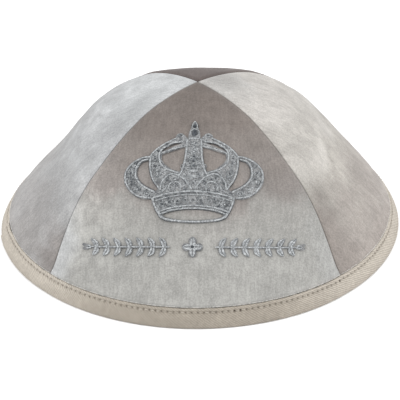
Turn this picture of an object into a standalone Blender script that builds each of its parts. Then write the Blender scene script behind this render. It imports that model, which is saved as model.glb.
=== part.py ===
"""A velvet kippah: four sewn gores, a folded edge tape and raised silver embroidery on the front gore.

Metres, +Z up, front gore towards -Y, resting on the plane z = 0 with its axis on the Z axis.
"""

import math

import bmesh
import bpy
import numpy as np

# Size of the cap
RIM_DIAMETER = 0.170
CROWN_HEIGHT = 0.064

# Cloth
VELVET_WALL = 0.0018
HEM_WALL = 0.0011
TAPE_WALL = 0.0010
TAPE_WIDTH = 0.0080
TAPE_PROUD = 0.0004
TAPE_EDGE_ROUND = 0.0009
PRESS_LENGTH = 0.0012
FIT_GAP = 0.0003

# Seams between the gores
SEAM_GAP = 0.0003
SEAM_ROLL_DEPTH = 0.0006
SEAM_ROLL_WIDTH = 0.0022
SEAM_ROLL_FADE = 0.006
SEAM_CREASE = 2.3

# Dents and swells of the soft walls
DENT_DEPTH = 0.0010

# Embroidery on the front gore
THREAD_RAISE = 0.0008
CROWN_MOTIF_CLIMB = 0.0405
CROWN_MOTIF_WIDTH = 0.0544
CROWN_MOTIF_RISE = 0.0438
ROW_CLIMB = 0.0310
ROW_DROOP = 0.0018
SPRIG_START = 0.0085
SPRIG_END = 0.0422
SPRIG_RISE = 0.0078
SPRIG_STEM = 0.0010
LEAF_PITCH = 0.0044
ROSETTE_DIAMETER = 0.0080

# Fineness of the faceted surfaces
GORE_COLUMNS = 12
GORE_ROWS = 17
WRAP_CELL = 0.0062

# Lean is the angle from the crown, with heights scaled to the cap's own height.
# Each row gives how far the skin is from the base centre, as a share of the rim radius.
PROFILE_COLUMNS = ("lean", "at_seam", "mid_gore")
PROFILE = (
    (0, 1.000, 1.000),
    (10, 0.995, 0.989),
    (20, 0.983, 0.958),
    (30, 0.957, 0.937),
    (40, 0.938, 0.902),
    (50, 0.933, 0.857),
    (60, 0.926, 0.854),
    (70, 0.925, 0.887),
    (80, 0.944, 0.939),
    (90, 0.995, 1.000),
)

# Bearing is measured from the front gore's middle, positive towards +X; swell is a share of the dent depth.
DENT_COLUMNS = ("bearing", "lean", "bearing_spread", "lean_spread", "swell")
DENTS = (
    (-107, 66, 13, 9, -0.8),
    (-119, 52, 9, 7, 0.4),
    (121, 60, 15, 10, 0.5),
    (150, 26, 22, 10, 0.4),
    (-134, 28, 16, 9, -0.4),
    (78, 88, 16, 10, -0.5),
    (-80, 88, 16, 10, 0.45),
    (34, 90, 12, 8, 0.35),
    (-24, 90, 14, 8, -0.3),
)

GORE_BEARINGS = {"panel_front": 0, "panel_right": 90, "panel_back": 180, "panel_left": 270}
QUARTER = 90
HALF_GORE = QUARTER / 2

# Points of the crown motif: shares of its half width and of its rise; a corner point isn't smoothed.
MOTIF_COLUMNS = ("across", "up", "corner")
CROWN_RIGHT_SIDE = (
    (0.18, 0.003, 0),
    (0.34, 0.018, 0),
    (0.45, 0.045, 0),
    (0.49, 0.080, 0),
    (0.53, 0.120, 0),
    (0.58, 0.180, 0),
    (0.59, 0.225, 1),
    (0.68, 0.215, 0),
    (0.81, 0.245, 0),
    (0.95, 0.325, 0),
    (1.00, 0.430, 0),
    (0.965, 0.520, 0),
    (0.86, 0.590, 0),
    (0.74, 0.625, 0),
    (0.63, 0.632, 1),
    (0.57, 0.675, 0),
    (0.48, 0.725, 0),
    (0.37, 0.768, 0),
    (0.27, 0.800, 1),
    (0.25, 0.842, 0),
    (0.20, 0.858, 0),
    (0.145, 0.838, 0),
    (0.09, 0.795, 1),
    (0.082, 0.840, 0),
    (0.075, 0.875, 0),
    (0.050, 0.915, 0),
    (0.036, 0.950, 0),
)
CROWN_TOP = (0.0, 1.000, 1)
CROWN_BOTTOM = (0.0, 0.000, 0)
OUTER_WINDOW = (
    (0.640, 0.590, 1),
    (0.735, 0.568, 0),
    (0.800, 0.510, 0),
    (0.798, 0.430, 0),
    (0.715, 0.355, 0),
    (0.540, 0.292, 1),
    (0.500, 0.306, 0),
    (0.572, 0.385, 0),
    (0.616, 0.470, 0),
    (0.630, 0.540, 0),
)
INNER_WINDOW = (
    (0.128, 0.700, 1),
    (0.290, 0.670, 0),
    (0.450, 0.636, 1),
    (0.455, 0.585, 0),
    (0.360, 0.512, 0),
    (0.270, 0.475, 0),
    (0.190, 0.465, 1),
    (0.155, 0.515, 0),
    (0.132, 0.605, 0),
)
TOP_WINDOW = (
    (0.170, 0.742, 1),
    (0.300, 0.752, 0),
    (0.430, 0.704, 0),
    (0.476, 0.660, 1),
    (0.310, 0.706, 0),
)
BASE_WINDOW = (
    (0.00, 0.132, 0),
    (0.16, 0.127, 0),
    (0.31, 0.110, 0),
    (0.41, 0.084, 0),
    (0.425, 0.066, 0),
    (0.36, 0.048, 0),
    (0.20, 0.031, 0),
    (0.00, 0.025, 0),
)

# One leaf beside the stem: along is a share of the leaf pitch, up a share of half the sprig's rise.
LEAF_COLUMNS = ("along", "up", "corner")
LEAF = (
    (0.00, 0.12, 1),
    (0.02, 0.48, 0),
    (0.26, 0.80, 0),
    (0.66, 1.00, 1),
    (0.66, 0.62, 0),
    (0.44, 0.12, 1),
)
END_LEAF = (
    (0.00, 0.12, 1),
    (0.34, 0.36, 0),
    (0.78, 0.24, 0),
)

VELVET_FRONT = (0.42, 0.37, 0.35)
VELVET_SIDE = (0.60, 0.59, 0.57)
VELVET_BACK = (0.34, 0.30, 0.28)
TAPE_BEIGE = (0.62, 0.57, 0.50)
SILVER_THREAD = (0.55, 0.57, 0.59)

PROFILE_LEANS = np.array([row[0] for row in PROFILE], dtype=float)
SKIN_RADIUS = RIM_DIAMETER / 2 - TAPE_PROUD
HEM_OUTER_DEPTH = TAPE_WALL - TAPE_PROUD + FIT_GAP
HEM_INNER_DEPTH = HEM_OUTER_DEPTH + HEM_WALL


def clear_scene():
    for obj in list(bpy.data.objects):
        bpy.data.objects.remove(obj, do_unlink=True)


def smooth_column(leans, values):
    """A smooth curve through the table's column, level at the crown."""
    before = np.concatenate([[values[1]], values[:-1]])
    after = np.concatenate([values[1:], [2 * values[-1] - values[-2]]])
    slopes = (after - before) / 2
    step = PROFILE_LEANS[1] - PROFILE_LEANS[0]
    place = np.clip(leans / step, 0, len(values) - 1 - 1e-9)
    row = place.astype(int)
    t = place - row
    start = values[row] * (2 * t**3 - 3 * t**2 + 1)
    end = values[row + 1] * (3 * t**2 - 2 * t**3)
    pull = slopes[row] * (t**3 - 2 * t**2 + t) + slopes[row + 1] * (t**3 - t**2)
    return start + end + pull


def swell_at(lean, bearing):
    """How far the dents table pushes the skin out, in metres."""
    total = np.zeros(np.broadcast(lean, bearing).shape)
    for dent_bearing, dent_lean, bearing_spread, lean_spread, share in DENTS:
        turn = (bearing - dent_bearing + 180) % 360 - 180
        reach = (turn / bearing_spread) ** 2 + ((lean - dent_lean) / lean_spread) ** 2
        total = total + share * DENT_DEPTH * np.exp(-reach / 2)
    return total


def skin(lean, bearing):
    """The outer skin's radius and height at a lean and a bearing, both in degrees."""
    lean = np.asarray(lean, dtype=float)
    bearing = np.asarray(bearing, dtype=float)
    from_middle = np.abs((bearing + HALF_GORE) % QUARTER - HALF_GORE) / HALF_GORE
    at_seam = smooth_column(lean, np.array([row[1] for row in PROFILE]))
    mid_gore = smooth_column(lean, np.array([row[2] for row in PROFILE]))
    share = mid_gore + (at_seam - mid_gore) * from_middle**SEAM_CREASE
    angle = np.radians(lean)
    swell = swell_at(lean, bearing)
    radius = (share * SKIN_RADIUS + swell) * np.sin(angle)
    height = share * CROWN_HEIGHT * np.cos(angle) + swell * np.cos(angle)
    return radius, height


def skin_normal(lean, bearing):
    """The outward direction across the wall, in the plane that holds the cap's axis."""
    step = 0.25
    lean = np.asarray(lean, dtype=float)
    above = np.clip(lean - step, 0, 90)
    below = np.clip(lean + step, 0, 90)
    r0, z0 = skin(above, bearing)
    r1, z1 = skin(below, bearing)
    along = np.hypot(r1 - r0, z1 - z0)
    return (z0 - z1) / along, (r1 - r0) / along


def on_wall(lean, bearing, depth):
    """A point that lies this depth inside the skin."""
    radius, height = skin(lean, bearing)
    out, up = skin_normal(lean, bearing)
    radius = radius - out * depth
    height = height - up * depth
    turn = np.radians(bearing)
    return np.stack([radius * np.sin(turn), -radius * np.cos(turn), height], axis=-1)


def climb_table():
    """Leans, and the cloth's length up from the hem to each, along the middle of a gore."""
    leans = np.linspace(0, 90, 901)
    radius, height = skin(leans, np.full_like(leans, HALF_GORE / 2))
    steps = np.hypot(np.diff(radius), np.diff(height))
    length = np.concatenate([[0], np.cumsum(steps)])
    return leans, length[-1] - length


CLIMB_LEANS, CLIMBS = climb_table()


def lean_at(climb):
    return np.interp(climb, CLIMBS[::-1], CLIMB_LEANS[::-1])


def rim_slope(bearing):
    """The sine of the wall's slope at the rim, which turns a wall's thickness into a level distance."""
    out, _ = skin_normal(86.0, bearing)
    return out


def hem_point(bearing, height, depth):
    """A point near the rim at a known height above the table, this depth inside the skin."""
    leans = np.linspace(60, 90, 121)
    radius, heights = skin(leans, np.full_like(leans, bearing))
    level = np.interp(height, heights[::-1], radius[::-1])
    level = level - depth / rim_slope(bearing)
    turn = math.radians(bearing)
    return (level * math.sin(turn), -level * math.cos(turn), height)


def material(name, colour, roughness, metallic=0.0):
    mat = bpy.data.materials.new(name)
    mat.use_nodes = True
    shader = mat.node_tree.nodes["Principled BSDF"]
    shader.inputs["Base Color"].default_value = (*colour, 1.0)
    shader.inputs["Roughness"].default_value = roughness
    shader.inputs["Metallic"].default_value = metallic
    return mat


def finish(bm, name, mat, collection, sharp_angle=50):
    """Turns a bmesh into a named object with its own material, shaded smooth between its sharp edges."""
    bmesh.ops.recalc_face_normals(bm, faces=bm.faces)
    mesh = bpy.data.meshes.new(name)
    bm.to_mesh(mesh)
    bm.free()
    obj = bpy.data.objects.new(name, mesh)
    collection.objects.link(obj)
    mesh.materials.append(mat)
    mesh.shade_smooth()
    mesh.set_sharp_from_angle(angle=math.radians(sharp_angle))
    return obj


# Gores
def gore_columns():
    """Places across a gore: -1 and 1 are the seam edges, then the seam roll's, then even ones between."""
    even = np.linspace(-1, 1, GORE_COLUMNS + 1)[1:-1]
    return [("edge", -1), ("roll", -1), *[("even", share) for share in even], ("roll", 1), ("edge", 1)]


def bearing_from_middle(place, radius):
    """The bearing of a column where the wall is this far from the axis, so that every seam gap stays even."""
    kind, share = place
    gap = math.degrees(math.asin(min(1.0, SEAM_GAP / 2 / radius)))
    edge = max(0.0, HALF_GORE - gap)
    roll = min(math.degrees(SEAM_ROLL_WIDTH / radius), 0.4 * edge * 2 / GORE_COLUMNS)
    if kind == "edge":
        return edge * share
    if kind == "roll":
        return (edge - roll) * share
    return edge * share


def seam_dip(distance, climb):
    """How deep the cloth rolls into the seam at this distance from it."""
    inward = np.clip(1 - distance / SEAM_ROLL_WIDTH, 0, 1)
    fade = np.clip((climb - TAPE_WIDTH - PRESS_LENGTH) / SEAM_ROLL_FADE, 0, 1)
    return SEAM_ROLL_DEPTH * inward**2 * fade


def gore_rows():
    """Leans of the rows from the hem up to the tip, with the depth that the tape presses the outer face to."""
    out, up = skin_normal(86.0, 0.0)
    hem_climb = (TAPE_WALL + FIT_GAP + HEM_INNER_DEPTH * float(up)) / float(out)
    pressed = TAPE_WIDTH + FIT_GAP
    free = pressed + PRESS_LENGTH
    tip_radius = SEAM_GAP / 2 / math.sin(math.radians(HALF_GORE))
    tip_lean = math.degrees(math.asin(tip_radius / SKIN_RADIUS))
    rows = [(climb, 1.0) for climb in (hem_climb, (hem_climb + pressed) / 2, pressed)]
    rows.append((free, 0.0))
    leans = [(float(lean_at(climb)), press) for climb, press in rows]
    for lean in np.linspace(leans[-1][0], tip_lean, GORE_ROWS + 1)[1:]:
        leans.append((float(lean), 0.0))
    return leans


def make_gore(name, middle, mat, collection):
    """A slab of cloth, laid out flat as a grid and then wrapped on the dome between two seams."""
    columns = gore_columns()
    rows = gore_rows()
    bm = bmesh.new()
    bmesh.ops.create_grid(bm, x_segments=len(columns) - 1, y_segments=len(rows) - 1, size=1)
    outer = bm.faces[:]
    inner = bmesh.ops.extrude_face_region(bm, geom=outer, use_keep_orig=True)
    inner_verts = [item for item in inner["geom"] if isinstance(item, bmesh.types.BMVert)]
    bmesh.ops.translate(bm, verts=inner_verts, vec=(0, 0, 1))
    for vert in bm.verts:
        column = columns[round((vert.co.x + 1) / 2 * (len(columns) - 1))]
        row = round((vert.co.y + 1) / 2 * (len(rows) - 1))
        lean, press = rows[row]
        inside = vert.co.z > 0.5
        radius = max(float(skin(lean, middle)[0]), SEAM_GAP / 2)
        if row == len(rows) - 1:
            turn = 0.0
        else:
            turn = bearing_from_middle(column, radius)
        to_seam = radius * math.radians(HALF_GORE - abs(turn))
        climb = float(np.interp(lean, CLIMB_LEANS, CLIMBS))
        if inside:
            depth = press * HEM_INNER_DEPTH + (1 - press) * VELVET_WALL
        else:
            depth = press * HEM_OUTER_DEPTH + float(seam_dip(to_seam, climb))
        vert.co = on_wall(lean, middle + turn, depth)
    bmesh.ops.remove_doubles(bm, verts=bm.verts, dist=1e-6)
    return finish(bm, name, mat, collection)


# Edge tape
def tape_section():
    """Height above the table and depth inside the skin of each corner of the folded tape's section."""
    outer = -TAPE_PROUD
    leg_inner = outer + TAPE_WALL
    far_leg = HEM_INNER_DEPTH + FIT_GAP
    far_face = far_leg + TAPE_WALL
    top = TAPE_WIDTH * float(rim_slope(0.0))
    curl = TAPE_EDGE_ROUND
    return (
        (top, outer + curl / 3),
        (top - curl / 2, outer),
        (top / 2, outer),
        (curl, outer),
        (curl / 4, outer + curl / 3),
        (0.0, outer + curl),
        (0.0, far_face - curl),
        (curl / 4, far_face - curl / 3),
        (curl, far_face),
        (top / 2, far_face),
        (top, far_face),
        (top, far_leg),
        (TAPE_WALL, far_leg),
        (TAPE_WALL, leg_inner),
        (top, leg_inner),
    )


def tape_bearings():
    """The gores' own columns at the rim, less their edges, plus each seam."""
    bearings = []
    for middle in GORE_BEARINGS.values():
        inner = [place for place in gore_columns() if place[0] != "edge"]
        bearings += [middle + bearing_from_middle(place, SKIN_RADIUS) for place in inner]
        bearings.append(middle + HALF_GORE)
    return bearings


def make_tape(mat, collection):
    """The tape's section, carried round the rim as a grid whose opposite edges meet."""
    section = tape_section()
    bearings = tape_bearings()
    bm = bmesh.new()
    bmesh.ops.create_grid(bm, x_segments=len(bearings), y_segments=len(section), size=1)
    for vert in bm.verts:
        around = round((vert.co.x + 1) / 2 * len(bearings)) % len(bearings)
        corner = round((vert.co.y + 1) / 2 * len(section)) % len(section)
        height, depth = section[corner]
        vert.co = hem_point(bearings[around], height, depth)
    bmesh.ops.remove_doubles(bm, verts=bm.verts, dist=1e-6)
    return finish(bm, "rim_binding", mat, collection)


# Embroidery
def flat_curve(name, splines, resolution):
    """A filled flat curve through closed splines of (x, y, corner) points, later ones being holes."""
    curve = bpy.data.curves.new(name, "CURVE")
    curve.dimensions = "2D"
    curve.fill_mode = "BOTH"
    curve.extrude = THREAD_RAISE / 2
    curve.resolution_u = resolution
    for points in splines:
        spline = curve.splines.new("BEZIER")
        spline.use_cyclic_u = True
        spline.bezier_points.add(len(points) - 1)
        for point, (x, y, corner) in zip(spline.bezier_points, points):
            point.co = (x, y, 0)
            point.handle_left_type = "VECTOR" if corner else "AUTO"
            point.handle_right_type = "VECTOR" if corner else "AUTO"
    return bpy.data.objects.new(name, curve)


def mirrored(points):
    """The same points on the other side of the middle, in the turning order that closes the outline."""
    return [(-x, y, corner) for x, y, corner in reversed(points)]


def wrap_on_front(bm):
    """Cuts a flat plate into cells and lays it on the front gore, x across and y up the cloth."""
    for axis in (0, 1):
        reach = max(abs(vert.co[axis]) for vert in bm.verts)
        for line in range(-int(reach / WRAP_CELL), int(reach / WRAP_CELL) + 1):
            place = [0.0, 0.0, 0.0]
            place[axis] = line * WRAP_CELL
            normal = [0.0, 0.0, 0.0]
            normal[axis] = 1.0
            cells = bm.verts[:] + bm.edges[:] + bm.faces[:]
            bmesh.ops.bisect_plane(bm, geom=cells, dist=1e-7, plane_co=place, plane_no=normal)
    for vert in bm.verts:
        across, climb, raised = vert.co
        radius, height = skin(lean_at(climb), 0.0)
        start = math.atan2(float(radius), float(height))
        turn = across / math.hypot(float(radius), float(height))
        slant = math.acos(math.cos(start) * math.cos(turn))
        lean = math.atan2(math.sin(slant) * CROWN_HEIGHT, math.cos(slant) * SKIN_RADIUS)
        bearing = math.atan2(math.tan(turn), math.sin(start))
        depth = -(FIT_GAP + THREAD_RAISE / 2 + raised)
        vert.co = on_wall(math.degrees(lean), math.degrees(bearing), depth)


def make_embroidery(name, splines, mat, collection, resolution=2):
    """A thin raised plate cut to the motif's outline, with its windows open to the velvet."""
    flat = flat_curve(name + "_outline", splines, resolution)
    bpy.context.scene.collection.objects.link(flat)
    evaluated = flat.evaluated_get(bpy.context.evaluated_depsgraph_get())
    plate = bpy.data.meshes.new_from_object(evaluated)
    bm = bmesh.new()
    bm.from_mesh(plate)
    bpy.data.objects.remove(flat, do_unlink=True)
    bmesh.ops.remove_doubles(bm, verts=bm.verts, dist=1e-6)
    wrap_on_front(bm)
    return finish(bm, name, mat, collection)


def scaled(points, across, up, base):
    return [(x * across, base + y * up, corner) for x, y, corner in points]


def crown_splines():
    side = list(CROWN_RIGHT_SIDE)
    outline = [CROWN_BOTTOM, *side, CROWN_TOP, *mirrored(side)]
    base = [*BASE_WINDOW, *mirrored(BASE_WINDOW[1:-1])]
    windows = [base]
    for window in (OUTER_WINDOW, INNER_WINDOW, TOP_WINDOW):
        windows += [list(window), mirrored(window)]
    half_width = CROWN_MOTIF_WIDTH / 2
    return [
        scaled(points, half_width, CROWN_MOTIF_RISE, CROWN_MOTIF_CLIMB) for points in [outline, *windows]
    ]


def drooped(points):
    """Sets a row of points at the row's height, lower towards the seams as the flat cloth's row lies."""
    return [
        (x, ROW_CLIMB + y - ROW_DROOP * (x / SPRIG_END) ** 2, corner) for x, y, corner in points
    ]


def sprig_outline():
    """A stem with leaves in pairs, from the middle out, closed by a leaf at its tip."""
    half_rise = SPRIG_RISE / 2
    stem = SPRIG_STEM / 2 / half_rise
    count = int((SPRIG_END - SPRIG_START - LEAF_PITCH) / LEAF_PITCH + 0.5)
    upper = [(SPRIG_START, 0.0, 1)]
    for index in range(count):
        start = SPRIG_START + (index + 0.3) * LEAF_PITCH
        for along, up, corner in LEAF:
            upper.append((start + along * LEAF_PITCH, max(up, stem) * half_rise, corner))
    end = SPRIG_START + (count + 0.1) * LEAF_PITCH
    for along, up, corner in END_LEAF:
        upper.append((end + along * LEAF_PITCH, max(up, stem) * half_rise, corner))
    lower = [(x, -y, corner) for x, y, corner in reversed(upper[1:])]
    return drooped([*upper, (SPRIG_END, 0.0, 1), *lower])


def rosette_outline():
    """Four round petals with a notch between each two."""
    points = []
    steps = 40
    for step in range(steps):
        turn = 2 * math.pi * step / steps
        reach = ROSETTE_DIAMETER / 2 * (0.42 + 0.58 * abs(math.cos(2 * turn)) ** 0.7)
        points.append((reach * math.cos(turn), reach * math.sin(turn), 0))
    return drooped(points)


def main():
    clear_scene()
    cap = bpy.data.collections.new("kippah")
    bpy.context.scene.collection.children.link(cap)

    front = material("velvet_front", VELVET_FRONT, 0.85)
    side = material("velvet_side", VELVET_SIDE, 0.85)
    back = material("velvet_back", VELVET_BACK, 0.85)
    velvets = {"panel_front": front, "panel_right": side, "panel_back": back, "panel_left": side}
    for name, bearing in GORE_BEARINGS.items():
        make_gore(name, bearing, velvets[name], cap)

    make_tape(material("edge_tape", TAPE_BEIGE, 0.9), cap)

    thread = material("silver_thread", SILVER_THREAD, 0.4, 0.5)
    make_embroidery("crown_embroidery", crown_splines(), thread, cap)
    make_embroidery("sprig_right", [sprig_outline()], thread, cap)
    left = [(-x, y, corner) for x, y, corner in reversed(sprig_outline())]
    make_embroidery("sprig_left", [left], thread, cap)
    make_embroidery("rosette", [rosette_outline()], thread, cap, resolution=1)


main()
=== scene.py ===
import math
import random

import bmesh
import bpy
import numpy as np
from mathutils import Matrix, Vector, noise
from mathutils.bvhtree import BVHTree


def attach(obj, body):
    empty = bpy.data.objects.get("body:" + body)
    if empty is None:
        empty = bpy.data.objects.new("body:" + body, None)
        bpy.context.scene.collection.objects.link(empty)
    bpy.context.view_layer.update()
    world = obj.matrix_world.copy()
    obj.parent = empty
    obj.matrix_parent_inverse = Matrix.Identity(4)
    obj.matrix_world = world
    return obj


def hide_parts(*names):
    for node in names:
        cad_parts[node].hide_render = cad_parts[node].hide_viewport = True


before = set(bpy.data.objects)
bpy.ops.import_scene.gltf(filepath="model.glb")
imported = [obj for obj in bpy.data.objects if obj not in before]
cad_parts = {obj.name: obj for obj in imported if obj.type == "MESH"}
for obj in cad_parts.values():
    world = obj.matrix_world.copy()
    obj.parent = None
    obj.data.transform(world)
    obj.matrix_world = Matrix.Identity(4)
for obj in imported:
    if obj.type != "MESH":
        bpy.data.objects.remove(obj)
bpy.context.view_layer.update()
print("frame loaded:", sorted(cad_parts))

mm = 0.001

# The cap's own form, as its solids have it: share of the rim radius at each lean from the crown
cap = {
    "rimRadius": 0.0846,
    "height": 0.064,
    "velvetWall": 1.8 * mm,
    "seamGap": 0.30 * mm,
    "seamCrease": 2.3,
    "tapeWidth": 8.0 * mm,
    "tapeWall": 1.0 * mm,
    "tapeProud": 0.4 * mm,
    "fitGap": 0.3 * mm,
    "hemWall": 1.1 * mm,
    "leanStep": 10,
    "atSeam": (1.000, 0.995, 0.983, 0.957, 0.938, 0.933, 0.926, 0.925, 0.944, 0.995),
    "midGore": (1.000, 0.989, 0.958, 0.937, 0.902, 0.857, 0.854, 0.887, 0.939, 1.000),
    # bearing, lean, spread of each, swell in mm
    "dents": (
        (-107, 66, 13, 9, -0.8),
        (-119, 52, 9, 7, 0.4),
        (121, 60, 15, 10, 0.5),
        (150, 26, 22, 10, 0.4),
        (-134, 28, 16, 9, -0.4),
        (78, 88, 16, 10, -0.5),
        (-80, 88, 16, 10, 0.45),
        (34, 90, 12, 8, 0.35),
        (-24, 90, 14, 8, -0.3),
    ),
}
hemOuter = cap["tapeWall"] - cap["tapeProud"] + cap["fitGap"]
hemInner = hemOuter + cap["hemWall"]


def smoothColumn(leans, column):
    values = np.array(column)
    before = np.concatenate([[values[1]], values[:-1]])
    after = np.concatenate([values[1:], [2 * values[-1] - values[-2]]])
    slopes = (after - before) / 2
    place = np.clip(leans / cap["leanStep"], 0, len(values) - 1 - 1e-9)
    row = place.astype(int)
    t = place - row
    ends = values[row] * (2 * t**3 - 3 * t**2 + 1) + values[row + 1] * (3 * t**2 - 2 * t**3)
    return ends + slopes[row] * (t**3 - 2 * t**2 + t) + slopes[row + 1] * (t**3 - t**2)


# Radius and height of the outer skin
def skin(lean, bearing):
    lean = np.asarray(lean, float)
    bearing = np.asarray(bearing, float)
    fromMiddle = np.abs((bearing + 45) % 90 - 45) / 45
    seam = smoothColumn(lean, cap["atSeam"])
    middle = smoothColumn(lean, cap["midGore"])
    share = middle + (seam - middle) * fromMiddle ** cap["seamCrease"]
    swell = 0
    for dentBearing, dentLean, wide, tall, depth in cap["dents"]:
        turn = (bearing - dentBearing + 180) % 360 - 180
        swell = swell + depth * mm * np.exp(-((turn / wide) ** 2 + ((lean - dentLean) / tall) ** 2) / 2)
    angle = np.radians(lean)
    return (share * cap["rimRadius"] + swell) * np.sin(angle), (share * cap["height"] + swell) * np.cos(angle)


def skinNormal(lean, bearing):
    r0, z0 = skin(np.clip(np.asarray(lean, float) - 0.25, 0, 90), bearing)
    r1, z1 = skin(np.clip(np.asarray(lean, float) + 0.25, 0, 90), bearing)
    along = np.hypot(r1 - r0, z1 - z0)
    return (z0 - z1) / along, (r1 - r0) / along


def onWall(lean, bearing, depth):
    radius, height = skin(lean, bearing)
    out, up = skinNormal(lean, bearing)
    radius = radius - out * depth
    turn = np.radians(bearing)
    return np.stack([radius * np.sin(turn), -radius * np.cos(turn), height - up * depth], axis=-1)


climbLeans = np.linspace(0, 90, 901)
climbRadius, climbHeight = skin(climbLeans, np.full_like(climbLeans, 22.5))
climbSteps = np.hypot(np.diff(climbRadius), np.diff(climbHeight))
climbs = np.sum(climbSteps) - np.concatenate([[0], np.cumsum(climbSteps)])


def leanAt(climb):
    return np.interp(climb, climbs[::-1], climbLeans[::-1])


# Flat cloth of the front gore laid on the dome: across, up from the rim, raised over the pile
def onFront(across, climb, raised):
    across, climb, raised = np.broadcast_arrays(*[np.asarray(v, float) for v in (across, climb, raised)])
    radius, height = skin(leanAt(climb), 0.0)
    start = np.arctan2(radius, height)
    turn = across / np.hypot(radius, height)
    slant = np.arccos(np.cos(start) * np.cos(turn))
    lean = np.degrees(np.arctan2(np.sin(slant) * cap["height"], np.cos(slant) * cap["rimRadius"]))
    bearing = np.degrees(np.arctan2(np.tan(turn), np.sin(start)))
    return onWall(lean, bearing, -raised)


# Camera, fitted to the photograph's own view
view = {
    "rim": 0.085,
    "azimuth": 3.013,
    "elevation": 29.697,
    "distance": 7.0,
    "shiftAcross": -0.002,
    "lookHeight": 0.093,
    "roll": -1.323,
    "focalPixels": 1392.35,
    "imagePixels": 400,
    "sensor": 36,
}


def addCamera():
    azimuth, elevation, roll = (math.radians(view[key]) for key in ("azimuth", "elevation", "roll"))
    back = Vector(
        (
            math.sin(azimuth) * math.cos(elevation),
            -math.cos(azimuth) * math.cos(elevation),
            math.sin(elevation),
        )
    )
    right = Vector((math.cos(azimuth), math.sin(azimuth), 0))
    up = back.cross(right)
    turnedRight = right * math.cos(roll) + up * math.sin(roll)
    turnedUp = up * math.cos(roll) - right * math.sin(roll)
    place = Vector((0, 0, view["lookHeight"])) + right * view["shiftAcross"] + back * view["distance"]
    matrix = Matrix((turnedRight, turnedUp, back)).transposed().to_4x4()
    matrix.translation = place * view["rim"]
    data = bpy.data.cameras.new("camera")
    data.sensor_width = view["sensor"]
    data.lens = view["focalPixels"] / view["imagePixels"] * view["sensor"]
    data.clip_start = 0.01
    camera = bpy.data.objects.new("camera", data)
    camera.matrix_world = matrix
    bpy.context.scene.collection.objects.link(camera)
    bpy.context.scene.camera = camera


addCamera()
print("camera placed")


# Node helpers
def addNode(tree, kind, inputs=None, **settings):
    node = tree.nodes.new(kind)
    for key, value in settings.items():
        setattr(node, key, value)
    for key, value in (inputs or {}).items():
        node.inputs[key].default_value = value
    return node


def newGroup(name, inputs, outputs):
    group = bpy.data.node_groups.new(name, "ShaderNodeTree")
    for label, kind, value in inputs:
        socket = group.interface.new_socket(label, in_out="INPUT", socket_type=kind)
        if value is not None:
            socket.default_value = value
    for label, kind in outputs:
        group.interface.new_socket(label, in_out="OUTPUT", socket_type=kind)
    return group, group.nodes.new("NodeGroupInput"), group.nodes.new("NodeGroupOutput")


def math2(tree, operation, a, b=None, clamp=False):
    node = addNode(tree, "ShaderNodeMath", operation=operation, use_clamp=clamp)
    for index, value in enumerate((a, b)):
        if value is None:
            continue
        if isinstance(value, (int, float)):
            node.inputs[index].default_value = value
        else:
            tree.links.new(value, node.inputs[index])
    return node.outputs[0]


def remap(tree, value, low, high, toLow=0.0, toHigh=1.0, smooth=True):
    node = addNode(tree, "ShaderNodeMapRange", interpolation_type="SMOOTHSTEP" if smooth else "LINEAR")
    tree.links.new(value, node.inputs["Value"])
    for key, number in (("From Min", low), ("From Max", high), ("To Min", toLow), ("To Max", toHigh)):
        node.inputs[key].default_value = number
    return node.outputs["Result"]


def mixColour(tree, factor, a, b, blend="MIX"):
    node = addNode(tree, "ShaderNodeMix", data_type="RGBA", blend_type=blend)
    for socket, value in ((node.inputs[0], factor), (node.inputs[6], a), (node.inputs[7], b)):
        if hasattr(value, "is_linked"):
            tree.links.new(value, socket)
        elif isinstance(value, tuple):
            socket.default_value = (*value, 1)
        else:
            socket.default_value = value
    return node.outputs[2]


# Crushed pile: large and small patches, fine grain, and streaks brushed down the gore
def makeNapGroup():
    group, source, sink = newGroup(
        "crushedNap",
        [
            ("Place", "NodeSocketVector", None),
            ("Cloth", "NodeSocketVector", None),
            ("Patch Scale", "NodeSocketFloat", 38.0),
            ("Crush Scale", "NodeSocketFloat", 150.0),
            ("Grain Scale", "NodeSocketFloat", 1700.0),
            ("Streak Scale", "NodeSocketFloat", 1.0),
        ],
        [(label, "NodeSocketFloat") for label in ("Patch", "Crush", "Grain", "Streak", "Height")],
    )
    stretch = addNode(group, "ShaderNodeMapping", {"Scale": (900, 170, 1)})
    group.links.new(source.outputs["Cloth"], stretch.inputs["Vector"])
    outs = {}
    for label, place, detail, rough, distort in (
        ("Patch", source.outputs["Place"], 3.0, 0.55, 0.8),
        ("Crush", source.outputs["Place"], 4.0, 0.6, 0.5),
        ("Grain", source.outputs["Place"], 2.0, 0.5, 0.0),
        ("Streak", stretch.outputs["Vector"], 3.0, 0.6, 0.2),
    ):
        cloud = addNode(
            group, "ShaderNodeTexNoise", {"Detail": detail, "Roughness": rough, "Distortion": distort}
        )
        group.links.new(place, cloud.inputs["Vector"])
        group.links.new(source.outputs[label + " Scale"], cloud.inputs["Scale"])
        outs[label] = remap(group, cloud.outputs["Fac"], 0.32, 0.68)
        group.links.new(outs[label], sink.inputs[label])
    total = 0.0
    for label, share in (("Patch", 0.40), ("Crush", 0.25), ("Grain", 0.20), ("Streak", 0.15)):
        total = math2(group, "ADD", math2(group, "MULTIPLY", outs[label], share), total)
    group.links.new(total, sink.inputs["Height"])
    return group


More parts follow.
